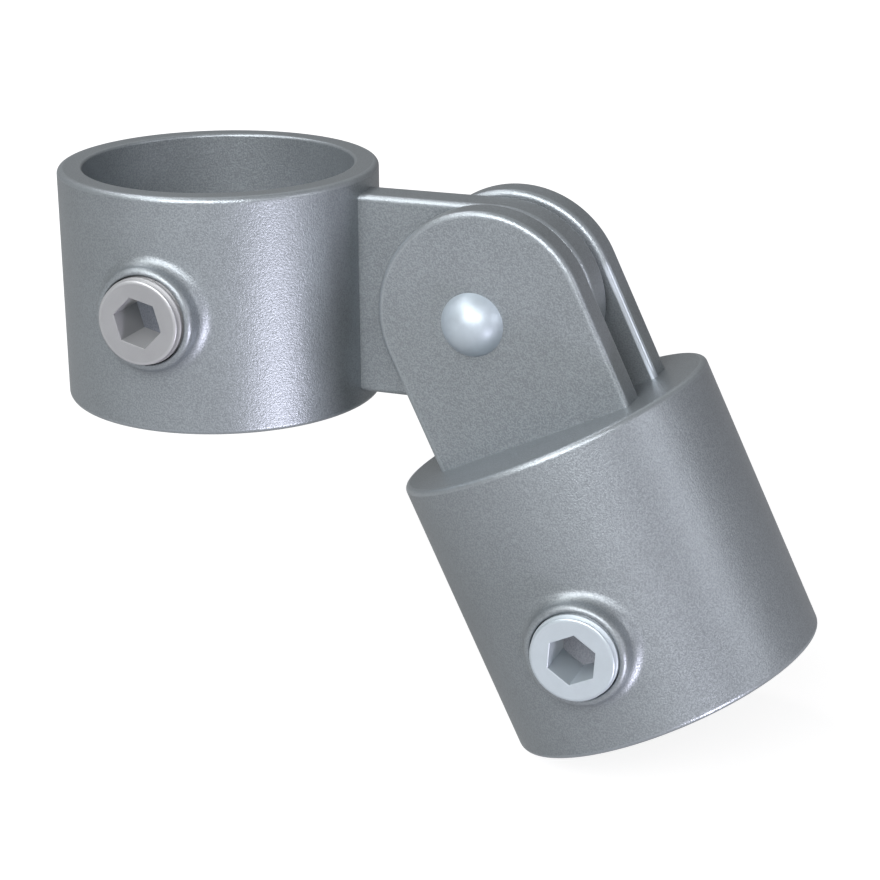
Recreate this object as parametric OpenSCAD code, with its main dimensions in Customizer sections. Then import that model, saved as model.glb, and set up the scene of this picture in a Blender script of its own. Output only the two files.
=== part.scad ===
// Hinged connector for two round tubes. A short ring slides along one tube and is held on it by a
// set screw. A capped socket takes the end of a second tube, and a second set screw holds that.
// A flat tongue on the ring turns between two ears on the socket's cap, on one riveted pin.
// Millimetres. The origin is the middle of the ring's bore, +Z runs along that bore, +X points to
// the hinge, and both set screws face -Y.

/* [Tubes] */
// Outside diameter of the tubes that the fitting holds
tube_d = 48.3; // [42.4:0.1:60.3]
// Space between a tube and the bore round it
bore_gap = 0.45; // [0.3:0.05:0.5]
// Thickness of the casting round a tube
wall_t = 4.5; // [3.5:0.1:6]
// Rounding of the bores' mouths
mouth_r = 0.35; // [0.2:0.05:0.6]

/* [Ring] */
// Length of the ring along its tube
ring_l = 42.6; // [38:0.1:60]
// Rounding of the castings' outer edges
edge_r = 0.9; // [0.4:0.1:1.4]

/* [Tongue] */
// How far each end of the ring stands past the tongue
tongue_set = 3.05; // [1.5:0.05:5]
// Thickness of the tongue
tongue_t = 7.4; // [5:0.1:10]
// Distance of the hinge hole behind the centre of the tongue's round end
hole_back = 1.33; // [0:0.01:2]
// Distance of the hinge hole below the tongue's middle line
hole_down = 1.03; // [0:0.01:2]

/* [Ears] */
// Thickness of each ear
ear_t = 6.4; // [5:0.1:9]
// Space between the tongue and each ear
side_gap = 1.7; // [0.5:0.1:2.5]
// How far the ears' round ends stand past the tongue's
ear_past = 0.75; // [0.2:0.05:2]
// Space between the ring's wall and the ears' round ends
ear_gap = 6.45; // [4:0.05:10]
// Distance of the ears' middle line past the hinge hole, across the socket
ear_across = 1.64; // [0:0.01:2]
// Distance of the ears' round centre above the hinge hole, along the socket
ear_up = 0.36; // [0:0.01:2]
// Tilt of the socket from the ring's axis, as it stands
rest_tilt = 25.3; // [5:0.1:120]

/* [Socket] */
// Length of the socket with its cap
socket_l = 52.5; // [46:0.5:80]
// Thickness of the cap
cap_t = 5; // [4:0.1:8]
// Space between the tongue's round end and the cap
cap_gap = 2.7; // [1.5:0.1:5]

/* [Rivet] */
// Diameter of the rivet's shank
pin_d = 8; // [6:0.1:9]
// Running space between the shank and the tongue's hole
pin_gap = 0.06; // [0.03:0.01:0.09]
// Grip of the ears' holes on the shank
pin_grip = 0.02; // [0.01:0.01:0.03]
// Diameter of each domed head
head_d = 11.4; // [10:0.1:14]
// Height of each domed head
head_h = 3.8; // [2.5:0.1:5]

/* [Set screws] */
// Outside diameter of a set screw
screw_d = 15.6; // [14:0.01:18]
// Running space between a set screw and its hole
screw_gap = 0.05; // [0.02:0.01:0.09]
// Distance of the socket's screw face past its boss
screw_stand = 1.6; // [0.6:0.1:2]
// How much further the ring's screw is backed out than the socket's
screw_out = 0.3; // [0:0.1:1]
// Distance of the socket's screw tip behind the bore wall
tip_back = 0.1; // [0.1:0.1:1]
// Rounding of a screw's face edge
face_r = 0.6; // [0.4:0.1:1]
// Distance between two thread grooves
pitch = 1.34; // [1:0.01:2]
// Depth of a thread groove
groove_h = 0.4; // [0.2:0.05:0.6]
// Width of the hexagonal key hole across its flats
key_af = 8; // [6:0.1:10]
// Turn of the ring's screw, from +X to one corner of its key hole
ring_key_turn = 45.65; // [0:0.05:60]
// Turn of the socket's screw, from the socket's side to one corner of its key hole
socket_key_turn = 0.13; // [0:0.01:60]
// Distance of the socket's screw above the socket's mouth
screw_up = 19; // [16:0.5:26]

/* [Bosses] */
// Wall of a boss round its screw
boss_t = 1.2; // [1:0.01:2.5]
// Height of a boss over the casting's wall
boss_h = 2.6; // [2:0.1:4]
// Rounding of a boss's lip
lip_r = 0.7; // [0.3:0.1:1]
// How far a boss's foot spreads
foot_w = 2.1; // [0.8:0.1:2.5]
// How high a boss's foot rises over the casting's wall
foot_h = 1.3; // [0.8:0.1:1.8]

/* [Hidden] */
$fn = 96;
ROUND_STEP = 30;
HEX = 6;
OVER = 1;

bore_r = tube_d / 2 + bore_gap;
body_r = bore_r + wall_t;
tongue_r = ring_l / 2 - tongue_set;
ear_r = tongue_r + ear_past;
hinge_x = body_r + ear_gap + ear_r - hole_back;
hinge_z = -hole_down;
ear_in = tongue_t / 2 + side_gap;
ear_out = ear_in + ear_t;
hole_off = norm([hole_back, hole_down]);
cap_z = -(tongue_r + hole_off + cap_gap);
mouth_z = cap_z - socket_l;
pin_r = pin_d / 2;
head_r = head_d / 2;
dome_r = (head_r * head_r + head_h * head_h) / (2 * head_h);
screw_r = screw_d / 2;
screw_l = wall_t + boss_h + screw_stand - tip_back;
boss_r = screw_r + boss_t;
boss_y = body_r + boss_h;
foot_r = boss_r + foot_w;
foot_y = sqrt(body_r * body_r - foot_r * foot_r);
key_r = key_af / 2 / cos(180 / HEX);

// Points of a quarter turn about c, from angle a on
function corner(c, r, a) = [for (t = [a : ROUND_STEP : a + 90]) [c.x + r * cos(t), c.y + r * sin(t)]];

// Half of a plate's section, from its middle to its rounded edge
function half_section(r, t, e) = concat(
    [[0, -t / 2]],
    corner([r - e, e - t / 2], e, -90),
    corner([r - e, t / 2 - e], e, 0),
    [[0, t / 2]]
);

// The same half turned to the other side
function other_half(points) = [for (i = [len(points) - 1 : -1 : 0]) [-points[i].x, points[i].y]];

// Section of a tube wall from z0 up to z1, rounded outside by edge_r and inside by mouth_r
function wall_section(z0, z1) = concat(
    corner([bore_r + mouth_r, z0 + mouth_r], mouth_r, 180),
    corner([body_r - edge_r, z0 + edge_r], edge_r, 270),
    corner([body_r - edge_r, z1 - edge_r], edge_r, 0),
    corner([bore_r + mouth_r, z1 - mouth_r], mouth_r, 90)
);

// Section of the blind socket, from the mouth at z0 up to the closed cap at z1
function socket_section(z0, z1) = concat(
    corner([bore_r + mouth_r, z0 + mouth_r], mouth_r, 180),
    corner([body_r - edge_r, z0 + edge_r], edge_r, 270),
    corner([body_r - edge_r, z1 - edge_r], edge_r, 0),
    [[0, z1], [0, z1 - cap_t], [bore_r, z1 - cap_t]]
);

// Section of a boss along its screw's axis, measured from the tube's axis
function boss_section() = concat(
    [[0, foot_y], [foot_r, foot_y], [boss_r, body_r + foot_h]],
    corner([boss_r - lip_r, boss_y - lip_r], lip_r, 0),
    [[0, boss_y]]
);

// Section of a set screw from its tip at 0 up to its face, with thread grooves down its side
function screw_section() = concat(
    [[0, 0], [screw_r - face_r, 0], [screw_r, face_r]],
    [for (z = [screw_l - face_r - groove_h - groove_count() * pitch : pitch : screw_l - face_r - groove_h])
        each [[screw_r, z - groove_h / 2], [screw_r - groove_h, z], [screw_r, z + groove_h / 2]]],
    corner([screw_r - face_r, screw_l - face_r], face_r, 0),
    [[0, screw_l]]
);

// Thread grooves that fit below the first one
function groove_count() = floor((screw_l - 3 * face_r - groove_h) / pitch);

// Flat plate of thickness t along Y: a round end of radius r about the origin, and a straight
// part of length l down to -Z, with edges rounded by edge_r
module plate(r, l, t) {
    section = half_section(r, t, edge_r);
    rotate([90, 0, 0])
        rotate_extrude(angle = 180)
            polygon(section);
    translate([0, 0, -l])
        linear_extrude(l)
            polygon(concat(section, other_half(section)));
}

// Turns a shape built up along +Z so that it points to -Y
module facing_front() {
    rotate([90, 0, 0])
        children();
}

// Round boss on a tube wall, with its axis through the tube's axis
module boss() {
    facing_front()
        rotate_extrude()
            polygon(boss_section());
}

// Bored hole of a set screw, from the tube's axis out through the boss
module screw_hole() {
    facing_front()
        cylinder(h = boss_y + OVER, r = screw_r + screw_gap);
}

// Set screw with its face at y = -face_y and a key hole right through it, turned by turn degrees
module set_screw(face_y, turn) {
    translate([0, screw_l - face_y, 0])
        facing_front()
            difference() {
                rotate_extrude()
                    polygon(screw_section());
                translate([0, 0, -OVER])
                    rotate([0, 0, turn])
                        cylinder(h = screw_l + 2 * OVER, r = key_r, $fn = HEX);
            }
}

// Places a shape from the hinge's own frame, where the socket hangs straight down
module at_hinge() {
    translate([hinge_x, 0, hinge_z])
        rotate([0, -rest_tilt, 0])
            children();
}

// Cylinder along Y through the hinge, reaching y out on both sides
module hinge_cylinder(r, y) {
    rotate([90, 0, 0])
        cylinder(h = 2 * y, r = r, center = true);
}

// Ring with its tongue and boss
module ring() {
    color([0.57, 0.59, 0.61])
        difference() {
            union() {
                rotate_extrude()
                    polygon(wall_section(-ring_l / 2, ring_l / 2));
                translate([hinge_x + hole_back, 0, 0])
                    rotate([0, 90, 0])
                        plate(tongue_r, hinge_x + hole_back - body_r + wall_t / 2, tongue_t);
                boss();
            }
            screw_hole();
            translate([hinge_x, 0, hinge_z])
                hinge_cylinder(pin_r + pin_gap, tongue_t);
        }
}

// Socket with its cap, ears and boss
module socket() {
    color([0.57, 0.59, 0.61])
        at_hinge()
            difference() {
                union() {
                    translate([ear_across, 0, 0])
                        rotate_extrude()
                            polygon(socket_section(mouth_z, cap_z));
                    for (side = [-1, 1])
                        translate([ear_across, side * (ear_in + ear_t / 2), ear_up])
                            plate(ear_r, ear_up - cap_z + cap_t / 2, ear_t);
                    translate([ear_across, 0, mouth_z + screw_up])
                        boss();
                }
                translate([ear_across, 0, mouth_z + screw_up])
                    screw_hole();
                hinge_cylinder(pin_r - pin_grip, ear_out + OVER);
            }
}

// Domed head over the plane z = 0
module rivet_head() {
    intersection() {
        translate([0, 0, head_h - dome_r])
            sphere(r = dome_r);
        cylinder(h = head_h + OVER, r = head_r + OVER);
    }
}

// Rivet through both ears and the tongue, with a head on each ear
module hinge_rivet() {
    color([0.80, 0.83, 0.86])
        translate([hinge_x, 0, hinge_z]) {
            hinge_cylinder(pin_r, ear_out);
            for (side = [0, 180])
                rotate([90 + side, 0, 0])
                    translate([0, 0, ear_out])
                        rivet_head();
        }
}

// Set screw in the ring's boss
module ring_set_screw() {
    color([0.68, 0.67, 0.69])
        set_screw(boss_y + screw_stand + screw_out, ring_key_turn);
}

// Set screw in the socket's boss
module socket_set_screw() {
    color([0.77, 0.81, 0.85])
        at_hinge()
            translate([ear_across, 0, mouth_z + screw_up])
                set_screw(boss_y + screw_stand, socket_key_turn);
}

ring();
socket();
hinge_rivet();
ring_set_screw();
socket_set_screw();
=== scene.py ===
import logging
import math
from dataclasses import dataclass, field
from enum import Enum
from typing import Any, Callable, Iterable, Sequence

import bmesh
import bpy
import numpy as np
from mathutils import Matrix, Vector


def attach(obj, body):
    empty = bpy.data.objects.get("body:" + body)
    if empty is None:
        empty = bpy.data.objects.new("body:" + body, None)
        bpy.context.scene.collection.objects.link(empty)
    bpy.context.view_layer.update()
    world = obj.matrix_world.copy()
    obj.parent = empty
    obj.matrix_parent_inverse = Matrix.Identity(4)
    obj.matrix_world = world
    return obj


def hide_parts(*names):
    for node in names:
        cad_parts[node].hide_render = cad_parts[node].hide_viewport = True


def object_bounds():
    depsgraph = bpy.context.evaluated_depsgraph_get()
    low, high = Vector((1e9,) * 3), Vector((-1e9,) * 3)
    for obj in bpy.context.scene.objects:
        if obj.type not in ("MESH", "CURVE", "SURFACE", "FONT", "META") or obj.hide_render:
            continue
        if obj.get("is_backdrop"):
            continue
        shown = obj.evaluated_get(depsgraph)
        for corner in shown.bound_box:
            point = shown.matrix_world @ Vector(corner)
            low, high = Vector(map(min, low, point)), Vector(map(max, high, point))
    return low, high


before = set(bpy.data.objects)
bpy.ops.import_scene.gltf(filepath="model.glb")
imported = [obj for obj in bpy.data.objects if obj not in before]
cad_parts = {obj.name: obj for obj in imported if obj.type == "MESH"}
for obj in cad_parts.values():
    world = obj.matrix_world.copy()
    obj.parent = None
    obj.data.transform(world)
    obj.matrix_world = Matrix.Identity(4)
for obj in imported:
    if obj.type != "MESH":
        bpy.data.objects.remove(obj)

LOG = logging.getLogger("tube_connector")
MM = 0.001
# Closest points that stay apart, and shortest edge that stays, in metres.
MERGE = 2e-7
TINY = 1e-8
# Distance from an edge's last row to the next one on the flat, in millimetres.
BESIDE = 0.15
# Name of the mark at each point that paints edges lighter: wear and a painted highlight on the castings, a
# painted highlight and painted light on the screws.
RIM = "rim"
HEX_SIDES = 6
Colour = tuple[float, float, float]
Cover = tuple[float, float, float, float]
BLACK: Cover = (0.0, 0.0, 0.0, 1.0)
WHITE: Cover = (1.0, 1.0, 1.0, 1.0)


class Part(Enum):
    """The parts of the fitting that get a piece of their own."""

    RING = "ring"
    SOCKET = "socket"
    RIVET = "hinge_rivet"
    RING_SCREW = "ring_set_screw"
    SOCKET_SCREW = "socket_set_screw"


# ---- shader maths


@dataclass(frozen=True)
class Signal:
    """One output of a material's nodes, which can be used in expressions."""

    graph: "Graph"
    port: bpy.types.NodeSocket

    def __add__(self, other: "Signal | float") -> "Signal":
        """Sum of two signals."""
        return self.graph.maths("ADD", self, other)

    __radd__ = __add__

    def __sub__(self, other: "Signal | float") -> "Signal":
        """This signal less another."""
        return self.graph.maths("SUBTRACT", self, other)

    def __rsub__(self, other: float) -> "Signal":
        """A number less this signal."""
        return self.graph.maths("SUBTRACT", other, self)

    def __mul__(self, other: "Signal | float") -> "Signal":
        """Product of two signals."""
        return self.graph.maths("MULTIPLY", self, other)

    __rmul__ = __mul__

    def step(self, low: float, high: float) -> "Signal":
        """Smooth step of this signal.

        Args:
            low: Value at which the step starts, at 0.
            high: Value at which it ends, at 1.

        Returns:
            The step as a signal from 0 to 1.
        """
        settings = {"interpolation_type": "SMOOTHSTEP"}
        values = {"Value": self, "From Min": low, "From Max": high}
        return self.graph.node("ShaderNodeMapRange", settings, values)["Result"]


class Outputs:
    """The outputs of one node, by name."""

    def __init__(self, graph: "Graph", node: bpy.types.Node) -> None:
        """Keeps the node and the graph it is in."""
        self.graph = graph
        self.node = node

    def __getitem__(self, name: str) -> Signal:
        """The node's output of that name."""
        port = next(p for p in self.node.outputs if p.name == name and p.enabled)
        return Signal(self.graph, port)


class Graph:
    """The node tree of one material or world, built by calls and expressions."""

    def __init__(self, owner: bpy.types.Material | bpy.types.World) -> None:
        """Empties the owner's tree.

        Args:
            owner: The material or world that the nodes belong to.
        """
        owner.use_nodes = True
        self.owner = owner
        self.tree = owner.node_tree
        self.tree.nodes.clear()

    def node(self, kind: str, settings: dict[str, Any], values: dict[str, Any]) -> Outputs:
        """Adds a node.

        Args:
            kind: The node's type.
            settings: Properties of the node, set first.
            values: Numbers, colours or signals for the node's inputs, by name.

        Returns:
            The node's outputs.
        """
        made = self.tree.nodes.new(kind)
        for key, value in settings.items():
            setattr(made, key, value)
        for key, value in values.items():
            port = made.inputs[key] if isinstance(key, int) else next(
                p for p in made.inputs if p.name == key and p.enabled)
            if isinstance(value, Signal):
                self.tree.links.new(value.port, port)
            else:
                port.default_value = value
        return Outputs(self, made)

    def maths(self, operation: str, first: Signal | float, second: Signal | float) -> Signal:
        """Adds a Math node for two signals or numbers."""
        made = self.node("ShaderNodeMath", {"operation": operation}, {0: first, 1: second})
        return made["Value"]

    def blend(self, share: Signal | float, first: Any, second: Any) -> Signal:
        """Mixes two colours.

        Args:
            share: How much of the second colour shows.
            first: Colour at a share of 0.
            second: Colour at a share of 1.

        Returns:
            The mixed colour.
        """
        settings = {"data_type": "RGBA", "blend_type": "MIX", "clamp_factor": True}
        return self.node("ShaderNodeMix", settings, {"Factor": share, "A": first, "B": second})["Result"]

    def place(self) -> Signal:
        """Place on the object, in metres."""
        return self.node("ShaderNodeTexCoord", {}, {})["Object"]

    def noise(self, place: Signal, size: float, detail: float = 2.0, rough: float = 0.5) -> Signal:
        """Soft noise.

        Args:
            place: Where the noise is read.
            size: Size of one blotch, in millimetres.
            detail: How many finer octaves are added.
            rough: How strong the finer octaves are.

        Returns:
            Noise from 0 to 1, about 0.5 on average.
        """
        values = {"Vector": place, "Scale": 1 / (size * MM), "Detail": detail, "Roughness": rough}
        return self.node("ShaderNodeTexNoise", {}, values)["Fac"]

    def mark(self, name: str) -> Signal:
        """A number that the mesh holds at each point."""
        return self.node("ShaderNodeAttribute", {"attribute_name": name}, {})["Fac"]

    def bump(self, height: Signal, depth: float) -> Signal:
        """Normal of a surface that stands up by a height.

        Args:
            height: Height from 0 to 1.
            depth: Height that 1 stands for, in millimetres.

        Returns:
            The normal.
        """
        values = {"Height": height, "Distance": depth * MM, "Strength": 1.0}
        return self.node("ShaderNodeBump", {}, values)["Normal"]

    def finish(self, surface: Signal) -> bpy.types.Material:
        """Ends a material's tree with a surface.

        Args:
            surface: The shader that the surface shows.

        Returns:
            The material.
        """
        self.node("ShaderNodeOutputMaterial", {}, {"Surface": surface})
        return self.owner

    def principled(self, **values: Any) -> Signal:
        """A Principled surface; each underscore in a keyword stands for a space."""
        named = {key.replace("_", " "): value for key, value in values.items()}
        return self.node("ShaderNodeBsdfPrincipled", {}, named)["BSDF"]


def opaque(colour: Colour) -> Cover:
    """The colour with full cover."""
    return (*colour, 1.0)


def shade(colour: Colour, gain: float) -> Cover:
    """The colour made lighter or darker by one factor."""
    return opaque(tuple(min(1.0, c * gain) for c in colour))


@dataclass(frozen=True)
class CastFinish:
    """Galvanised casting: fine even grain, faint clouds, edges lighter from wear and a painted highlight, and
    one rubbed smooth.

    Sizes and depths are in millimetres; gains make the colour darker or lighter, and each pair
    of gains runs from the clouds' dark to their light parts.
    """

    colour: Colour = (0.292, 0.320, 0.345)
    rubbed: Colour = (0.59, 0.645, 0.715)
    grain: float = 0.30
    grain_depth: float = 0.058
    pit: float = 0.8
    pit_depth: float = 0.030
    cloud: float = 9.0
    hollows: tuple[float, float] = (0.85, 0.90)
    crests: tuple[float, float] = (1.11, 1.16)
    pit_gain: float = 0.78
    pit_share: float = 0.22
    scuff_glint_gain: float = 1.45
    scuff_glint_share: float = 0.30
    roughness: float = 0.385
    grain_rough: float = 0.10
    worn_smooth: float = 0.12
    rubbed_smooth: float = 0.9
    metallic: float = 0.60

    def material(self) -> bpy.types.Material:
        """Builds the casting's material.

        Returns:
            The material of both castings.
        """
        g = Graph(bpy.data.materials.new("cast_galvanised"))
        at = g.place()
        grain = g.noise(at, self.grain, 2.0, 0.6)
        pits = g.noise(at, self.pit, 2.0, 0.55)
        cloud = g.noise(at, self.cloud, 3.0, 0.6)
        rim = g.mark(RIM)
        cloudy = cloud.step(0.3, 0.7)
        dark = g.blend(cloudy, *(shade(self.colour, gain) for gain in self.hollows))
        light = g.blend(cloudy, *(shade(self.colour, gain) for gain in self.crests))
        tone = g.blend(grain.step(0.36, 0.64), dark, light)
        tone = g.blend(pits.step(0.60, 0.74) * self.pit_share, tone, shade(self.colour, self.pit_gain))
        # The rim mark paints the edges lighter: partly wear, partly a painted highlight on the fillets.
        scuff_and_glint, rubbed = rim.step(0.0, 1.0), rim.step(1.0, 2.0)
        scuff_glint_amount = scuff_and_glint * (self.scuff_glint_share + self.scuff_glint_share * pits)
        tone = g.blend(scuff_glint_amount, tone, shade(self.colour, self.scuff_glint_gain))
        tone = g.blend(rubbed, tone, opaque(self.rubbed))
        rough = self.roughness + self.grain_rough * (grain - 0.5) - self.worn_smooth * scuff_and_glint * cloud
        depth = self.grain_depth + self.pit_depth
        height = grain * (self.grain_depth / depth) + pits * (self.pit_depth / depth)
        normal = g.bump(height * (1.0 - self.rubbed_smooth * rubbed), depth)
        return g.finish(g.principled(Base_Color=tone, Metallic=self.metallic, Roughness=rough, Normal=normal))


@dataclass(frozen=True)
class PolishFinish:
    """Bright rivet head: smooth, with a faint haze and hair-fine marks; sizes in millimetres."""

    colour: Colour = (0.52, 0.59, 0.66)
    haze: float = 3.0
    haze_share: float = 0.5
    haze_rough: float = 0.10
    hair: float = 0.30
    hair_depth: float = 0.002
    hair_rough: float = 0.05
    roughness: float = 0.42
    metallic: float = 0.40

    def material(self) -> bpy.types.Material:
        """Builds the rivet's material.

        Returns:
            The material of the rivet.
        """
        g = Graph(bpy.data.materials.new("rivet_bright"))
        at = g.place()
        haze = g.noise(at, self.haze, 3.0, 0.6)
        hair = g.noise(at, self.hair, 2.0, 0.5)
        dull, clear = shade(self.colour, 0.96), shade(self.colour, 1.05)
        tone = g.blend(haze.step(0.35, 0.7) * self.haze_share, dull, clear)
        rough = self.roughness + self.haze_rough * (haze - 0.5) + self.hair_rough * (hair - 0.5)
        normal = g.bump(hair, self.hair_depth)
        return g.finish(g.principled(Base_Color=tone, Metallic=self.metallic, Roughness=rough, Normal=normal))


@dataclass(frozen=True)
class ScrewFinish:
    """Satin plated set screw with a faint turned grain, a painted highlight on its edge and painted light in
    its key hole; sizes in millimetres.
    """

    name: str
    colour: Colour
    painted_light_gain: float = 1.7
    painted_light_share: float = 0.85
    edge_smooth: float = 0.06
    edge_metal: float = 0.35
    haze: float = 4.0
    haze_rough: float = 0.12
    fine: float = 0.22
    fine_gain: float = 1.15
    fine_share: float = 0.12
    fine_depth: float = 0.004
    fine_rough: float = 0.06
    roughness: float = 0.42
    metallic: float = 0.15

    def material(self) -> bpy.types.Material:
        """Builds the screw's material.

        Returns:
            A material with the finish's own name.
        """
        g = Graph(bpy.data.materials.new(self.name))
        at = g.place()
        haze = g.noise(at, self.haze, 3.0, 0.6)
        fine = g.noise(at, self.fine, 2.0, 0.6)
        rim = g.mark(RIM)
        tone = g.blend(haze.step(0.3, 0.7), shade(self.colour, 0.97), shade(self.colour, 1.03))
        tone = g.blend(fine.step(0.35, 0.7) * self.fine_share, tone, shade(self.colour, self.fine_gain))
        # The rim mark paints a highlight on the face edge and crest, and lightens the key hole's shaded
        # walls.
        tone = g.blend(rim * self.painted_light_share, tone, shade(self.colour, self.painted_light_gain))
        rough = self.roughness + self.haze_rough * (haze - 0.5) + self.fine_rough * (fine - 0.5) \
            - self.edge_smooth * rim
        metal = self.metallic + self.edge_metal * rim
        normal = g.bump(fine, self.fine_depth)
        return g.finish(g.principled(Base_Color=tone, Metallic=metal, Roughness=rough, Normal=normal))


@dataclass(frozen=True)
class StageFinish:
    """Plain pale floor that looks white and keeps the fitting's soft shadow; places in metres."""

    colour: Colour = (0.30, 0.30, 0.303)
    near_light: float = 0.86
    near: float = 0.16
    far: float = 0.50
    in_metal: float = 0.25
    cloud: float = 400.0
    roughness: float = 0.9

    def material(self) -> bpy.types.Material:
        """Builds the floor's material: lit matt, plus its own white, which is lower beside the fitting.

        Returns:
            The material of the floor.
        """
        g = Graph(bpy.data.materials.new("pale_floor"))
        seen = seen_directly(g, self.in_metal)
        cloud = g.noise(g.place(), self.cloud, 2.0, 0.5)
        tone = g.blend(cloud, shade(self.colour, 0.99), shade(self.colour, 1.01))
        matt = g.principled(Base_Color=tone, Roughness=self.roughness)
        away = g.node("ShaderNodeVectorMath", {"operation": "LENGTH"}, {0: g.place()})["Value"]
        own = self.near_light + (1.0 - self.near_light) * away.step(self.near, self.far)
        white = g.blend(own, BLACK, WHITE)
        glow = g.node("ShaderNodeEmission", {}, {"Color": white, "Strength": seen})["Emission"]
        return g.finish(g.node("ShaderNodeAddShader", {}, {0: matt, 1: glow})["Shader"])


def seen_directly(g: Graph, in_metal: float) -> Signal:
    """1 for rays from the camera, and a share for those that metal or glass reflects or passes on.

    Args:
        g: The node tree.
        in_metal: How bright the studio's white is in a reflection.

    Returns:
        The share of the studio's own white that a ray sees.
    """
    path = g.node("ShaderNodeLightPath", {}, {})
    both = path["Is Camera Ray"] + in_metal * (path["Is Glossy Ray"] + path["Is Transmission Ray"])
    return g.maths("MINIMUM", both, 1.0)


# ---- surfaces as arrays


def arc(centre: Sequence[float], radii: Sequence[float], start: float, stop: float, steps: int) -> np.ndarray:
    """Points of an ellipse's arc: centre + (a cos t, b sin t), t from start to stop.

    Args:
        centre: Middle of the arc.
        radii: Half widths of the ellipse.
        start: First angle, in degrees.
        stop: Last angle, in degrees.
        steps: Number of steps.

    Returns:
        An array of steps + 1 points.
    """
    t = np.radians(np.linspace(start, stop, steps + 1))
    return np.stack([centre[0] + radii[0] * np.cos(t), centre[1] + radii[1] * np.sin(t)], axis=1)


def between(first: np.ndarray, last: np.ndarray, shares: Sequence[float]) -> np.ndarray:
    """Rows between two curves: (1 - s) first + s last for each share s."""
    s = np.asarray(shares)[:, None, None]
    return (1 - s) * first[None] + s * last[None]


def grid_faces(rows: int, columns: int, round_rows: bool, round_columns: bool) -> np.ndarray:
    """Corners of the quads between the nodes of a grid.

    Args:
        rows: Number of rows of nodes.
        columns: Number of nodes in a row.
        round_rows: Whether the last row joins the first.
        round_columns: Whether the last column joins the first.

    Returns:
        An array of quads with their row and column kept: (rows, columns, 4).
    """
    i = np.arange(rows if round_rows else rows - 1)[:, None]
    j = np.arange(columns if round_columns else columns - 1)[None, :]
    i2, j2 = (i + 1) % rows, (j + 1) % columns
    return np.stack([i * columns + j, i * columns + j2, i2 * columns + j2, i2 * columns + j], axis=-1)


@dataclass
class Surface:
    """Points, faces and a mark at each point, gathered from several grids."""

    points: list[np.ndarray] = field(default_factory=list)
    faces: list[np.ndarray] = field(default_factory=list)
    marks: list[np.ndarray] = field(default_factory=list)
    count: int = 0

    def add(self, points: np.ndarray, faces: np.ndarray, marks: np.ndarray | float = 0.0) -> None:
        """Adds a grid.

        Args:
            points: Array of points, (..., 3), in millimetres.
            faces: Corner numbers of the faces, (..., 3 or 4).
            marks: How much lighter the edge is painted at each point, or one number for all.
        """
        flat = points.reshape(-1, 3)
        self.points.append(flat)
        self.faces.append(faces.reshape(-1, faces.shape[-1]) + self.count)
        self.marks.append(np.broadcast_to(marks, points.shape[:-1]).reshape(-1))
        self.count += len(flat)

    def add_fan(self, tip: Sequence[float], start: int, columns: int) -> None:
        """Closes a pole: triangles from one point to a closed row that is already in the surface.

        Args:
            tip: The pole.
            start: Number of the row's first point.
            columns: Number of points in the row.
        """
        j = np.arange(columns)
        rim = np.stack([start + j, start + (j + 1) % columns, np.full(columns, self.count)], axis=1)
        self.points.append(np.asarray([tip], dtype=float))
        self.marks.append(np.zeros(1))
        self.faces.append(rim)
        self.count += 1

    def mesh(self, name: str, place: Callable[[np.ndarray], np.ndarray],
             sharp: float = 42.0) -> bpy.types.Mesh:
        """Makes a closed mesh, in metres.

        Args:
            name: Name of the mesh.
            place: Turns the points' own coordinates into the part's.
            sharp: Angle over which an edge stays sharp, in degrees.

        Returns:
            The mesh, with coinciding points merged and its faces outwards.
        """
        points = place(np.concatenate(self.points)) * MM
        faces = [row for block in self.faces for row in block.tolist()]
        made = bpy.data.meshes.new(name)
        made.from_pydata(points.tolist(), [], faces)
        layer = made.attributes.new(RIM, "FLOAT", "POINT")
        layer.data.foreach_set("value", np.concatenate(self.marks).astype(np.float32))
        work = bmesh.new()
        work.from_mesh(made)
        bmesh.ops.remove_doubles(work, verts=work.verts, dist=MERGE)
        bmesh.ops.dissolve_degenerate(work, edges=work.edges, dist=TINY)
        bmesh.ops.recalc_face_normals(work, faces=work.faces)
        loose = sum(not edge.is_manifold for edge in work.edges)
        if loose:
            LOG.warning("%s has %d open edges", name, loose)
        work.to_mesh(made)
        work.free()
        made.shade_smooth()
        made.set_sharp_from_angle(angle=math.radians(sharp))
        return made


def as_is(points: np.ndarray) -> np.ndarray:
    """Leaves the points where they are."""
    return points


# ---- sizes


@dataclass(frozen=True)
class Sizes:
    """Sizes that several pieces share, in millimetres."""

    bore_r: float = 24.6
    body_r: float = 29.1
    tongue_r: float = 18.25
    ear_r: float = 19.0
    ear_in: float = 5.4
    ear_out: float = 11.8
    hinge: tuple[float, float, float] = (53.22, 0.0, -1.03)
    tilt: float = 25.3
    ear_across: float = 1.64
    ear_up: float = 0.36
    cap_z: float = -22.632
    mouth_z: float = -75.132
    screw_up: float = 19.0

    def at_hinge(self, points: np.ndarray) -> np.ndarray:
        """Tilts points about the hinge's axis: hinge + x across + y side + z along.

        Args:
            points: Points from the hinge's axis, with the hinging half straight down.

        Returns:
            The same points in the part's frame.
        """
        a = math.radians(self.tilt)
        across = np.array([math.cos(a), 0.0, math.sin(a)])
        along = np.array([-math.sin(a), 0.0, math.cos(a)])
        x, y, z = points[..., 0:1], points[..., 1:2], points[..., 2:3]
        return np.array(self.hinge) + x * across + y * np.array([0.0, 1.0, 0.0]) + z * along

    def at_socket(self, points: np.ndarray) -> np.ndarray:
        """The same for points measured from the socket's own axis."""
        return self.at_hinge(points + np.array([self.ear_across, 0.0, 0.0]))


# ---- the tube wall with its boss


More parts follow.
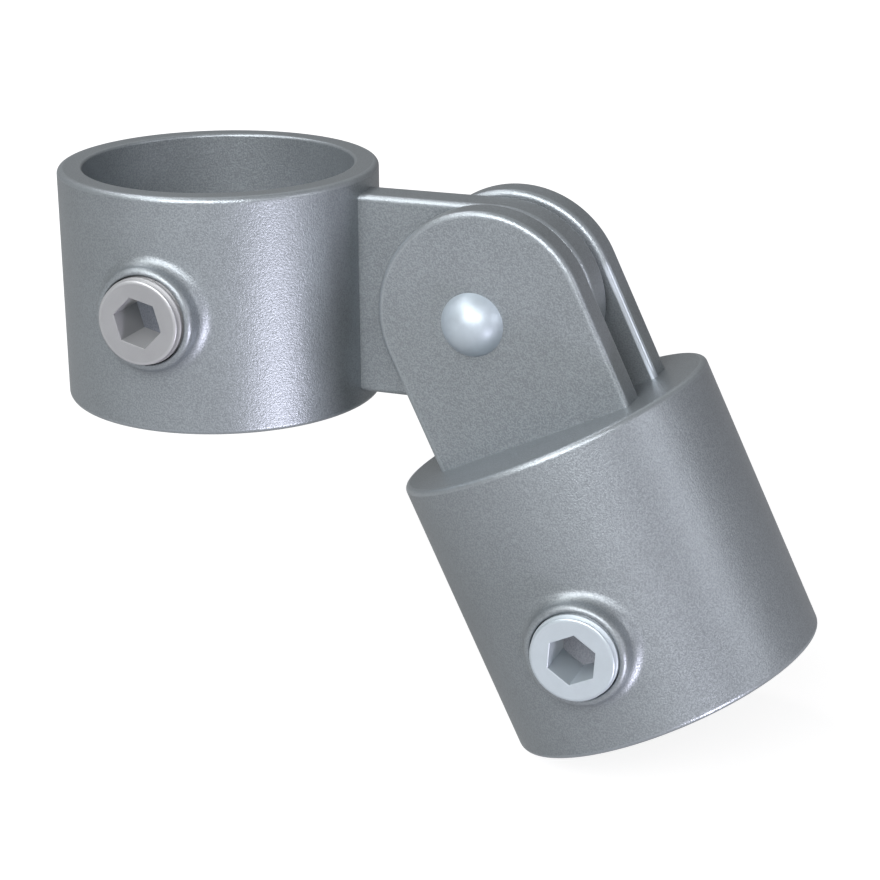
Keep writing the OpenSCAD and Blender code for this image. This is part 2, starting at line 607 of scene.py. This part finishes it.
@dataclass(frozen=True)
class Boss:
    """Round boss for a set screw, with a soft lip and a hollow fillet at its foot."""

    outer_r: float = 9.32
    base_r: float = 9.45
    hole_r: float = 7.95
    top: float = 31.7
    foot_r: float = 11.35
    foot_slope: float = 62.0
    lip_w: float = 1.02
    lip_h: float = 1.25
    inner_w: float = 0.32
    inner_h: float = 0.28
    foot_steps: int = 8
    lip_steps: int = 8
    lip_glint: float = 0.4
    lip_fade: float = 0.2

    def section(self, cos2: np.ndarray, body_r: float, bore_r: float) -> tuple[np.ndarray, np.ndarray]:
        """Rows of the boss from its foot, over the lip and down the hole to the bore.

        The foot follows the tube: at radius p the tube's surface stands sqrt(R^2 - p^2 cos^2)
        from its axis. A circle's arc, sheared to the tube's slope there, makes the hollow
        foot, the side leans in a little as it rises, and two quarter ellipses make the lip.

        Args:
            cos2: Squared cosine of each column's direction across the tube.
            body_r: Radius of the tube's outside.
            bore_r: Radius of the bore.

        Returns:
            Rows of (radius, height) for every column, and each row's edge mark.
        """
        one = np.ones_like(cos2)
        foot = np.sqrt(body_r ** 2 - self.foot_r ** 2 * cos2)
        width = (self.foot_r - self.base_r) / math.sin(math.radians(self.foot_slope))
        turn = np.radians(np.linspace(0, self.foot_slope, self.foot_steps + 1))[:, None]
        reach = width * np.sin(turn)
        rise = foot + reach * (self.foot_r * cos2 / foot)[None] + width * (1 - np.cos(turn))
        hollow = np.stack([(self.foot_r - reach) * one[None], rise], axis=-1)
        shoulder = np.stack([self.outer_r * one, self.top - self.lip_h + 0 * one], axis=-1)
        side = between(hollow[-1], shoulder, (0.35, 0.7, 1.0))
        lip = arc((self.outer_r - self.lip_w, self.top - self.lip_h),
                  (self.lip_w, self.lip_h), 0, 90, self.lip_steps)[1:]
        inner = arc((self.hole_r + self.inner_w, self.top - self.inner_h),
                    (self.inner_w, self.inner_h), 90, 180, self.lip_steps)[1:]
        ring = np.concatenate([lip, inner])[:, None, :] * one[None, :, None]
        wall = np.stack([self.hole_r * one, self.top - self.inner_h + 0 * one], axis=-1)
        bottom = np.stack([self.hole_r * one, np.sqrt(bore_r ** 2 - self.hole_r ** 2 * cos2)], axis=-1)
        hole = between(wall, bottom, (0.2, 0.5, 0.8, 1.0))
        # Painted highlight along the rounded lip.
        glint = self.lip_glint * np.sin(np.linspace(self.lip_fade, math.pi - self.lip_fade, len(ring) - 2))
        marks = np.concatenate([np.zeros(len(hollow) + len(side) + 1), glint, np.zeros(len(hole) + 1)])
        return np.concatenate([hollow, side, ring, hole]), marks


@dataclass(frozen=True)
class Wall:
    """Round casting wall along Z with a boss on its -Y side.

    It is a profile turned about Z, in which a window round the screw is left out, outside and
    in the bore, and a round patch joins both windows through the boss and its hole.
    """

    sizes: Sizes
    low: float
    high: float
    boss_at: float
    cap_t: float = 0.0
    boss: Boss = field(default_factory=Boss)
    edge_r: float = 1.0
    top_edge_r: float = 1.0
    mouth_r: float = 0.5
    window_turn: float = 27.5
    window_half: float = 13.0
    window_steps: int = 24
    turn_steps: int = 132
    row_gap: float = 2.5
    pole_r: float = 1.5
    edge_steps: int = 8
    mouth_steps: int = 5
    cap_rows: int = 13
    roof_rows: int = 11
    # Marks that paint the mouth and the bore's foot lighter: partly wear, partly a painted highlight.
    mouth_mark: float = 0.6
    foot_mark: float = 0.5

    def columns(self) -> np.ndarray:
        """Spaces the wall's columns evenly, in the window and outside it.

        Returns:
            Turns in degrees, from -Y towards +X.
        """
        inside = np.linspace(-self.window_turn, self.window_turn, self.window_steps + 1)
        outside = np.linspace(self.window_turn, 360 - self.window_turn, self.turn_steps + 1)[1:-1]
        return np.concatenate([inside, outside])

    def heights(self, low: float, high: float) -> np.ndarray:
        """Spaces the rows of a straight wall.

        Args:
            low: Height of the wall's lower end.
            high: Height of its upper end.

        Returns:
            Heights from low to high, with the window's rows among them.
        """
        bottom, top = self.boss_at - self.window_half, self.boss_at + self.window_half
        below = np.linspace(low + BESIDE, bottom, max(2, int((bottom - low) / self.row_gap) + 2))[:-1]
        above = np.linspace(top, high - BESIDE, max(2, int((high - top) / self.row_gap) + 2))[1:]
        return np.concatenate([[low], below, np.linspace(bottom, top, self.window_steps + 1), above, [high]])

    def profile(self) -> tuple[np.ndarray, np.ndarray, list[int]]:
        """Profile of the wall as (radius, height), from the outside's foot round to the bore.

        Returns:
            The points, each point's edge mark, and the first window row outside and in the bore.
        """
        s, e, t, m = self.sizes, self.edge_r, self.top_edge_r, self.mouth_r
        outer = self.heights(self.low + e, self.high - t)
        bore_top = self.high - self.cap_t - (0.0 if self.cap_t else m)
        inner = self.heights(self.low + m, bore_top)[::-1]
        foot = arc((s.bore_r + m, self.low + m), (m, m), 180, 270, self.mouth_steps)[1:]
        base = arc((s.body_r - e, self.low + e), (e, e), 270, 360, self.edge_steps)[:-1]
        edge = arc((s.body_r - t, self.high - t), (t, t), 0, 90, self.edge_steps)[1:]
        outside = np.stack([np.full(len(outer), s.body_r), outer], axis=1)
        inside = np.stack([np.full(len(inner), s.bore_r), inner], axis=1)
        if self.cap_t:
            out = np.linspace(s.body_r - t - BESIDE, self.pole_r, self.cap_rows)
            top = np.stack([out, np.full(len(out), self.high)], axis=1)
            back = np.linspace(self.pole_r, s.bore_r, self.roof_rows + 1)[:-1]
            roof = np.stack([back, np.full(len(back), self.high - self.cap_t)], axis=1)
            ends, turned = [top, roof], 0.0
        else:
            mouth = arc((s.bore_r + m, self.high - m), (m, m), 90, 180, self.mouth_steps)[:-1]
            face = np.array([[s.body_r - t - BESIDE, self.high], [s.bore_r + m + BESIDE, self.high]])
            ends, turned = [face, mouth], self.mouth_mark
        parts = [base, outside, edge, *ends, inside, foot]
        # Edge marks paint the rounded edges lighter: partly wear, partly a painted highlight.
        weights = [1.0, 0.0, 1.0, 0.0, turned, 0.0, self.foot_mark]
        starts = np.cumsum([0] + [len(p) for p in parts])
        marks = np.concatenate([np.full(len(p), w) for p, w in zip(parts, weights)])
        k_out = starts[1] + int(np.argmin(abs(outer - (self.boss_at - self.window_half))))
        k_in = starts[-3] + int(np.argmin(abs(inner - (self.boss_at + self.window_half))))
        return np.concatenate(parts), marks, [k_out, k_in]

    def surface(self) -> Surface:
        """Builds the wall: point(k, t) = (r_k sin t, -r_k cos t, z_k).

        Returns:
            The wall with the boss in its window.
        """
        rows, marks, windows = self.profile()
        turns = np.radians(self.columns())
        r, z = rows[:, 0:1], rows[:, 1:2]
        points = np.stack([r * np.sin(turns), -r * np.cos(turns), z + 0 * turns], axis=-1)
        faces = grid_faces(len(rows), len(turns), True, True)
        keep = np.ones(faces.shape[:2], dtype=bool)
        for k in windows:
            keep[k:k + self.window_steps, :self.window_steps] = False
        poles = np.flatnonzero(rows[:, 0] < self.pole_r + BESIDE)[:1]
        keep[poles] = False
        made = Surface()
        made.add(points, faces[keep], marks[:, None])
        for pole in poles:
            made.add_fan((0, 0, self.high), pole * len(turns), len(turns))
            made.add_fan((0, 0, self.high - self.cap_t), (pole + 1) * len(turns), len(turns))
        patch, edge = self.patch()
        made.add(patch, grid_faces(patch.shape[0], patch.shape[1], False, True), edge[:, None])
        return made

    def border(self, radius: float) -> np.ndarray:
        """Finds the nodes round the window on a cylinder.

        Args:
            radius: Radius of the cylinder.

        Returns:
            The nodes as (across, along).
        """
        n = self.window_steps
        turn = np.radians(np.linspace(-self.window_turn, self.window_turn, n + 1))
        rise = np.linspace(-self.window_half, self.window_half, n + 1)
        t = np.concatenate([turn[:-1], np.full(n, turn[-1]), turn[:0:-1], np.full(n, turn[0])])
        b = np.concatenate([np.full(n, rise[0]), rise[:-1], np.full(n, rise[-1]), rise[:0:-1]])
        return np.stack([radius * np.sin(t), b], axis=1)

    def patch(self) -> tuple[np.ndarray, np.ndarray]:
        """The boss and its hole between the two windows.

        Returns:
            Rows of points from the outer window to the bore's, and each row's edge mark.
        """
        s = self.sizes
        outer, inner = self.border(s.body_r), self.border(s.bore_r)
        way = outer / np.linalg.norm(outer, axis=1, keepdims=True)
        section, marks = self.boss.section(way[:, 0] ** 2, s.body_r, s.bore_r)
        flat = between(outer, self.boss.foot_r * way, (0.0, 0.2, 0.4, 0.6, 0.8))
        skin = np.sqrt(s.body_r ** 2 - flat[..., 0] ** 2)
        turned = section[..., 0:1] * way[None]
        back = between(self.boss.hole_r * way, inner, (0.2, 0.45, 0.7, 1.0))
        back_skin = np.sqrt(s.bore_r ** 2 - back[..., 0] ** 2)
        across = np.concatenate([flat[..., 0], turned[..., 0], back[..., 0]])
        along = np.concatenate([flat[..., 1], turned[..., 1], back[..., 1]]) + self.boss_at
        height = np.concatenate([skin, section[..., 1], back_skin])
        edge = np.concatenate([np.zeros(len(flat)), marks, np.zeros(len(back))])
        return np.stack([across, -height, along], axis=-1), edge


# ---- flat plates


@dataclass(frozen=True)
class Plate:
    """Flat plate with one round end, rounded edges and a hole, on which a hinge turns."""

    half_width: float
    length: float
    thickness: float
    hole_r: float
    hole_at: tuple[float, float]
    edge_r: float = 1.0
    rubbed: bool = False
    side_nodes: int = 20
    turn_steps: int = 72
    base_steps: int = 8
    edge_steps: int = 8
    rim_rows: int = 4
    fade: float = 4.0
    fade_share: float = 0.8
    rub_gain: float = 1.6

    def outline(self) -> tuple[np.ndarray, np.ndarray]:
        """Path round the plate: its points are centre + width * way.

        Returns:
            The centres and the ways, both as (across, along).
        """
        side = np.linspace(-self.length, 0, self.side_nodes)
        turn = np.radians(np.linspace(0, 180, self.turn_steps + 1))[1:-1]
        base = np.linspace(-1, 1, self.base_steps + 1)[1:-1]
        centre = np.concatenate([
            np.stack([0 * side, side], axis=1), np.zeros((len(turn), 2)),
            np.stack([0 * side, side[::-1]], axis=1), np.stack([0 * base, 0 * base - self.length], axis=1)])
        way = np.concatenate([
            np.stack([1 + 0 * side, 0 * side], axis=1), np.stack([np.cos(turn), np.sin(turn)], axis=1),
            np.stack([-1 + 0 * side, 0 * side], axis=1), np.stack([base, 0 * base], axis=1)])
        return centre, way

    def surface(self) -> Surface:
        """Builds the plate from (width, depth) rows carried round the outline.

        The rows go from the hole over the front face, the rounded edge and the rim to the back
        face and through the hole; on the faces they slide from the outline in to the hole. Along
        the first side the front edge's marks grow where it is rubbed, and fade where it isn't.

        Returns:
            The plate, with its edges marked.
        """
        centre, way = self.outline()
        w, half, e = self.half_width, self.thickness / 2, self.edge_r
        front = arc((w - e, -half + e), (e, e), -90, 0, self.edge_steps)
        back = arc((w - e, half - e), (e, e), 0, 90, self.edge_steps)
        up = np.linspace(-half + e + BESIDE, half - e - BESIDE, self.rim_rows)
        side = np.stack([np.full(len(up), w), up], axis=1)
        section = np.concatenate([front, side, back])
        # Edge marks paint both rounded edges lighter: partly wear, partly a painted highlight.
        edge = np.concatenate([np.ones(len(front)), np.zeros(len(side)), np.ones(len(back))])
        flat = centre[None] + section[:, None, 0:1] * way[None]
        depth = np.repeat(section[:, 1:2], len(centre), axis=1)

        def hole(rim: np.ndarray) -> np.ndarray:
            """Points of the hole that face the rim's points."""
            out = rim - np.array(self.hole_at)
            return np.array(self.hole_at) + self.hole_r * out / np.linalg.norm(out, axis=1, keepdims=True)

        shares = (0.0, 0.1, 0.3, 0.55, 0.8, 0.985)
        face = between(hole(flat[0]), flat[0], shares)
        rear = between(hole(flat[-1]), flat[-1], shares)[::-1]
        plan = np.concatenate([face, flat, rear])
        n, m = len(shares), len(centre)
        y = np.concatenate([np.full((n, m), -half), depth, np.full((n, m), half)])
        marks = np.concatenate([np.zeros(n), edge, np.zeros(n)])[:, None] * np.ones(m)
        straight, rounded = self.side_nodes, n + len(front)
        # On plain plates the painted highlight fades away along the straight side; the rubbed plate gets its
        # rubbed strip there.
        taper = np.clip(-centre[:straight, 1] / self.fade, 0, 1)
        if self.rubbed:
            marks[n + 1:rounded, :straight] += np.minimum(1.0, self.rub_gain * taper)[None]
        else:
            marks[n:rounded, :straight] *= 1.0 - self.fade_share * taper[None]
        made = Surface()
        points = np.stack([plan[..., 0], y, plan[..., 1]], axis=-1)
        made.add(points, grid_faces(len(points), m, True, True), marks)
        return made


# ---- pieces


class Workshop:
    """Makes the objects and keeps the finishes, so that each is built once."""

    def __init__(self) -> None:
        """Builds the finishes."""
        self.cast = CastFinish().material()
        self.bright = PolishFinish().material()
        self.warm = ScrewFinish("set_screw_warm", (0.310, 0.315, 0.328)).material()
        self.pale = ScrewFinish("set_screw_pale", (0.465, 0.520, 0.568), 1.2).material()

    def piece(self, name: str, mesh: bpy.types.Mesh, finish: bpy.types.Material, part: Part,
              body: str) -> bpy.types.Object:
        """Makes an object that stands for one part.

        Args:
            name: Name of the piece.
            mesh: Its mesh, already in place.
            finish: Its material.
            part: The part it stands for.
            body: The body it moves with.

        Returns:
            The object.
        """
        made = bpy.data.objects.new(name, mesh)
        bpy.context.scene.collection.objects.link(made)
        mesh.materials.append(finish)
        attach(made, body)
        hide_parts(part.value)
        LOG.info("%s: %d points, %d faces", name, len(mesh.vertices), len(mesh.polygons))
        return made


def joined(name: str, meshes: Iterable[bpy.types.Mesh]) -> bpy.types.Mesh:
    """Puts several closed meshes into one.

    Args:
        name: Name of the new mesh.
        meshes: The meshes, which are removed.

    Returns:
        The mesh that holds them all.
    """
    work = bmesh.new()
    for mesh in meshes:
        work.from_mesh(mesh)
        bpy.data.meshes.remove(mesh)
    made = bpy.data.meshes.new(name)
    work.to_mesh(made)
    work.free()
    return made


@dataclass
class RingCasting:
    """Short ring that slides along one tube, with its tongue and boss."""

    sizes: Sizes
    length: float = 42.6
    tongue_t: float = 7.4
    tongue_centre: float = 54.55
    hole_back: float = 1.33
    hole_down: float = 1.03
    hole_r: float = 4.06
    sunk: float = 2.25

    def mesh(self) -> bpy.types.Mesh:
        """Builds the ring's casting.

        Returns:
            The wall and the tongue.
        """
        s = self.sizes
        wall = Wall(s, -self.length / 2, self.length / 2, 0.0).surface().mesh("ring_wall", as_is)
        reach = self.tongue_centre - s.body_r + self.sunk
        tongue = Plate(s.tongue_r, reach, self.tongue_t, self.hole_r, (self.hole_down, -self.hole_back))

        def place(points: np.ndarray) -> np.ndarray:
            """Turns the round end from +Z to +X and carries it out: (x, y, z) becomes (z + c, y, -x)."""
            turned = np.stack([points[..., 2], points[..., 1], -points[..., 0]], axis=-1)
            return turned + np.array([self.tongue_centre, 0.0, 0.0])

        return joined("ring_casting", [wall, tongue.surface().mesh("tongue", place)])

    def build(self, shop: Workshop) -> bpy.types.Object:
        """Makes the ring's piece."""
        return shop.piece("ring_casting", self.mesh(), shop.cast, Part.RING, "ring")


@dataclass
class SocketCasting:
    """Capped socket for the end of the second tube, with its two ears and boss."""

    sizes: Sizes
    cap_t: float = 5.0
    hole_r: float = 3.99
    sunk: float = 2.5

    def mesh(self) -> bpy.types.Mesh:
        """Builds the socket's casting.

        Returns:
            The wall with its cap, and the two ears.
        """
        s = self.sizes
        wall = Wall(s, s.mouth_z, s.cap_z, s.mouth_z + s.screw_up, self.cap_t)
        parts = [wall.surface().mesh("socket_wall", s.at_socket)]
        thick = s.ear_out - s.ear_in
        for side in (-1, 1):
            ear = Plate(s.ear_r, s.ear_up - s.cap_z + self.sunk, thick, self.hole_r,
                        (-s.ear_across, -s.ear_up), rubbed=side > 0)
            middle = np.array([s.ear_across, side * (s.ear_in + thick / 2), s.ear_up])
            parts.append(ear.surface().mesh("ear", lambda p, m=middle: s.at_hinge(p + m)))
        return joined("socket_casting", parts)

    def build(self, shop: Workshop) -> bpy.types.Object:
        """Makes the socket's piece."""
        return shop.piece("socket_casting", self.mesh(), shop.cast, Part.SOCKET, "socket")


@dataclass
class Rivet:
    """Rivet with a domed head at each end of a plain shank."""

    sizes: Sizes
    shank_r: float = 4.0
    head_r: float = 5.7
    head_h: float = 3.8
    pole_turn: float = 2.0
    columns: int = 96
    head_steps: int = 22

    def surface(self) -> Surface:
        """Turns a profile about Y: each head is an arc of radius (a^2 + h^2) / 2h over the ear.

        Returns:
            The rivet with its two heads.
        """
        a, h, face = self.head_r, self.head_h, self.sizes.ear_out
        dome = (a * a + h * h) / (2 * h)
        reach = math.degrees(math.asin(a / dome))
        head = arc((0.0, face + h - dome), (dome, dome), 90.0 - self.pole_turn, 90.0 - reach,
                   self.head_steps)
        shank = np.array([[self.shank_r, face], [self.shank_r, face * 0.5]])
        half = np.concatenate([head, shank])
        rows = np.concatenate([half, [[self.shank_r, 0.0]], (half * (1, -1))[::-1]])
        t = np.linspace(0, 2 * math.pi, self.columns + 1)[:-1]
        points = np.stack([rows[:, 0:1] * np.cos(t), rows[:, 1:2] + 0 * t, rows[:, 0:1] * np.sin(t)], axis=-1)
        made = Surface()
        made.add(points, grid_faces(len(rows), self.columns, False, True))
        made.add_fan((0, face + h, 0), 0, self.columns)
        made.add_fan((0, -face - h, 0), (len(rows) - 1) * self.columns, self.columns)
        return made

    def build(self, shop: Workshop) -> bpy.types.Object:
        """Makes the rivet's piece."""
        mesh = self.surface().mesh("hinge_rivet_bright", self.sizes.at_hinge)
        return shop.piece("rivet", mesh, shop.bright, Part.RIVET, "socket")


@dataclass
class SetScrew:
    """Set screw with grooves down its side, a rounded face edge and a hexagonal key hole right through."""

    face: float
    key_turn: float
    radius: float = 7.76
    length: float = 8.6
    edge_r: float = 7.52
    edge_w: float = 0.62
    edge_h: float = 0.30
    pitch: float = 1.34
    groove_d: float = 0.80
    groove_w: float = 0.56
    groove_start: float = 0.90
    groove_end: float = 0.2
    key_af: float = 8.0
    bevel: float = 0.10
    columns: int = 144
    hole_rows: int = 12
    hole_in: tuple[float, float] = (0.12, 0.05)
    edge_steps: int = 10
    row_gap: float = 0.06
    crest_glint_rows: int = 23
    hole_painted_light: float = 0.55
    sharp: float = 35.0
    crest_glint: float = 0.15
    glint: tuple[float, float] = (0.3, 2.8)

    def hexagon(self, turn: np.ndarray, across_flats: float) -> np.ndarray:
        """Distance of a hexagon's side from its middle, a / cos(t - nearest flat's direction)."""
        step = 2 * math.pi / HEX_SIDES
        return across_flats / 2 / np.cos((turn - math.radians(self.key_turn)) % step - step / 2)

    def side(self, below: np.ndarray) -> np.ndarray:
        """Radius of the side: the full radius, less a rounded notch at every groove.

        The grooves stand one pitch apart, each notch is a cosine bell, and above the first one
        the side starts from the smaller edge.

        Args:
            below: Distances below the face.

        Returns:
            The radius at each distance.
        """
        phase = (below - self.groove_start) / self.pitch
        lap = np.abs(phase - np.round(phase)) * self.pitch
        bell = 0.5 + 0.5 * np.cos(math.pi * np.clip(lap / self.groove_w, 0, 1))
        fade = np.clip((self.length - self.edge_w - below) / self.groove_end, 0, 1)
        outer = np.where(below < self.groove_start, self.edge_r, self.radius)
        return outer - (outer - self.radius + self.groove_d) * bell * fade

    def surface(self) -> Surface:
        """Turns the screw's rows about its axis.

        Returns:
            The screw, with its face towards -Y.
        """
        t = np.linspace(0, 2 * math.pi, self.columns + 1)[:-1] + math.radians(self.key_turn)
        one = np.ones_like(t)
        hole, wide = self.hexagon(t, self.key_af), self.hexagon(t, self.key_af + 2 * self.bevel)
        flat = (self.edge_r - self.edge_w) * one
        shallow, deepest = self.bevel + self.hole_in[0], self.length - self.hole_in[1]
        deep = np.append(np.linspace(deepest, shallow, self.hole_rows), self.bevel)
        shares = (0.0, 0.33, 0.66, 0.96, 1.0)
        edge = arc((self.edge_r - self.edge_w, self.edge_h), (self.edge_w, self.edge_h),
                   -90, 0, self.edge_steps)[1:]
        below = np.arange(self.edge_h + self.row_gap / 2, self.length - self.edge_w, self.row_gap)
        rows: list[tuple[np.ndarray, float]] = [(hole, b) for b in deep]
        rows += [((1 - s) * wide + s * flat, 0.0) for s in shares]
        rows += [(r * one, b) for r, b in edge]
        rows += [(r * one, b) for r, b in zip(self.side(below), below)]
        rows += [(self.radius * one, self.length - self.edge_w), (flat, self.length),
                 (0.5 * flat + 0.5 * wide, self.length)]
        r = np.stack([row[0] for row in rows])
        b = np.array([row[1] for row in rows])[:, None]
        marks = np.zeros(len(rows))
        # Painted light: the key hole's walls are lightened against their own shade.
        marks[:self.hole_rows] = self.hole_painted_light
        first = len(deep) + len(shares)
        grooves = first + len(edge)
        # Painted highlight on the rounded face edge, and a fainter one along the first crest below it.
        marks[first:grooves] = np.sin(np.linspace(*self.glint, len(edge)))
        marks[grooves:grooves + self.crest_glint_rows] = self.crest_glint
        points = np.stack([r * np.cos(t), -self.face + b + 0 * t, r * np.sin(t)], axis=-1)
        made = Surface()
        made.add(points, grid_faces(len(rows), self.columns, True, True), marks[:, None])
        return made


@dataclass
class RingScrew(SetScrew):
    """The ring's screw, backed out a little further than the socket's."""

    face: float = 33.6
    key_turn: float = 45.65

    def build(self, shop: Workshop) -> bpy.types.Object:
        """Makes the ring screw's piece."""
        mesh = self.surface().mesh("ring_screw", as_is, self.sharp)
        return shop.piece("ring_screw_satin", mesh, shop.warm, Part.RING_SCREW, "ring_screw")


@dataclass
class SocketScrew(SetScrew):
    """The socket's screw."""

    face: float = 33.3
    key_turn: float = 0.13
    sizes: Sizes = field(default_factory=Sizes)

    def build(self, shop: Workshop) -> bpy.types.Object:
        """Makes the socket screw's piece.

        Args:
            shop: The finishes and the call that makes a piece.

        Returns:
            The piece.
        """
        s = self.sizes
        up = np.array([0.0, 0.0, s.mouth_z + s.screw_up])
        mesh = self.surface().mesh("socket_screw", lambda p: s.at_socket(p + up), self.sharp)
        return shop.piece("socket_screw_satin", mesh, shop.pale, Part.SOCKET_SCREW, "socket_screw")


# ---- camera, light and floor


@dataclass(frozen=True)
class Lamp:
    """One soft area lamp, aimed at the fitting."""

    name: str
    azimuth: float
    elevation: float
    distance: float
    width: float
    height: float
    watts: float
    tint: Colour

    def build(self, aim: Vector) -> bpy.types.Object:
        """Makes the lamp; azimuth 0 stands on the -Y side and 90 on +X.

        Args:
            aim: The point that the lamp looks at.

        Returns:
            The lamp's object.
        """
        a, e = math.radians(self.azimuth), math.radians(self.elevation)
        back = Vector((math.sin(a) * math.cos(e), -math.cos(a) * math.cos(e), math.sin(e)))
        data = bpy.data.lights.new(self.name, "AREA")
        data.shape = "RECTANGLE"
        data.size, data.size_y = self.width, self.height
        data.energy, data.color = self.watts, self.tint
        made = bpy.data.objects.new(self.name, data)
        made.location = aim + back * self.distance
        made.rotation_mode = "QUATERNION"
        made.rotation_quaternion = (-back).to_track_quat("-Z", "Y")
        made.visible_camera = False
        bpy.context.scene.collection.objects.link(made)
        return made


@dataclass
class Studio:
    """Floor, world, lamps and the camera at the photograph's place."""

    lens: float = 92.917
    place: tuple[float, float, float] = (0.18243613, -0.36461622, 0.10970376)
    right: tuple[float, float, float] = (0.93451652, 0.35586701, -0.00612781)
    up: tuple[float, float, float] = (-0.11231315, 0.31118715, 0.94368868)
    back: tuple[float, float, float] = (0.33773456, -0.88120442, 0.33077807)
    sensor: float = 36.0
    near_clip: float = 0.01
    far_clip: float = 50.0
    floor_size: float = 12.0
    floor_steps: int = 8
    floor_gap: float = 0.0005
    lamps: tuple[Lamp, ...] = (
        Lamp("front", 7.0, 31.0, 1.2, 1.30, 0.60, 14.7, (1.0, 1.0, 1.0)),
        Lamp("top_front", -36.0, 54.0, 1.2, 1.00, 0.40, 5.8, (0.98, 1.0, 0.97)),
        Lamp("top_back", -105.0, 60.0, 1.2, 0.3, 0.3, 2.2, (1.0, 0.98, 1.0)),
        Lamp("right", 84.0, 16.0, 1.2, 0.30, 0.30, 1.6, (0.97, 0.96, 1.0)),
        Lamp("back", 200.0, 48.0, 1.2, 0.90, 0.50, 0.5, (0.99, 1.0, 1.0)),
        Lamp("low_right", 64.0, -29.0, 1.2, 0.32, 0.16, 7.6, (0.93, 0.88, 1.0)),
    )

    def camera(self) -> bpy.types.Object:
        """Makes the camera from its place and its three axes.

        Returns:
            The scene's camera.
        """
        data = bpy.data.cameras.new("camera")
        data.sensor_width, data.lens = self.sensor, self.lens
        data.clip_start, data.clip_end = self.near_clip, self.far_clip
        made = bpy.data.objects.new("camera", data)
        turn = Matrix((self.right, self.up, self.back)).transposed()
        made.matrix_world = Matrix.Translation(self.place) @ turn.to_4x4()
        bpy.context.scene.collection.objects.link(made)
        bpy.context.scene.camera = made
        return made

    def floor(self, level: float) -> bpy.types.Object:
        """Makes the floor: a flat grid in the pale finish, that lets the low lamp pass.

        Args:
            level: Height of the floor.

        Returns:
            The floor.
        """
        nodes = self.floor_steps + 1
        side = np.linspace(-self.floor_size / 2, self.floor_size / 2, nodes)
        x, y = np.meshgrid(side, side)
        points = np.stack([x, y, np.full_like(x, level)], axis=-1).reshape(-1, 3)
        mesh = bpy.data.meshes.new("floor")
        faces = grid_faces(nodes, nodes, False, False).reshape(-1, 4)
        mesh.from_pydata(points.tolist(), [], faces.tolist())
        mesh.materials.append(StageFinish().material())
        made = bpy.data.objects.new("floor", mesh)
        bpy.context.scene.collection.objects.link(made)
        made.visible_shadow = False
        made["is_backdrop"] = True
        return made

    def world(self) -> None:
        """Makes the world: white where it is seen, dimmer in metal, and no light of its own."""
        world = bpy.data.worlds.new("studio")
        bpy.context.scene.world = world
        g = Graph(world)
        seen = seen_directly(g, StageFinish.in_metal)
        light = g.node("ShaderNodeBackground", {}, {"Color": WHITE, "Strength": seen})
        g.node("ShaderNodeOutputWorld", {}, {"Surface": light["Background"]})

    def build(self, low: float, aim: Vector) -> None:
        """Sets up the studio.

        Args:
            low: Lowest point of the fitting.
            aim: Middle of the fitting.
        """
        self.camera()
        self.floor(low - self.floor_gap)
        self.world()
        for lamp in self.lamps:
            lamp.build(aim)
        bpy.context.scene.view_settings.view_transform = "Standard"


def main() -> None:
    """Builds the fitting's pieces in order, then the studio."""
    logging.basicConfig(level=logging.INFO, format="%(name)s %(message)s")
    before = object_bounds()
    sizes = Sizes()
    shop = Workshop()
    for maker in (RingCasting(sizes), SocketCasting(sizes), Rivet(sizes), RingScrew(), SocketScrew()):
        maker.build(shop)
    low, high = before
    Studio().build(low.z, (low + high) / 2)


if __name__ == "__main__":
    main()
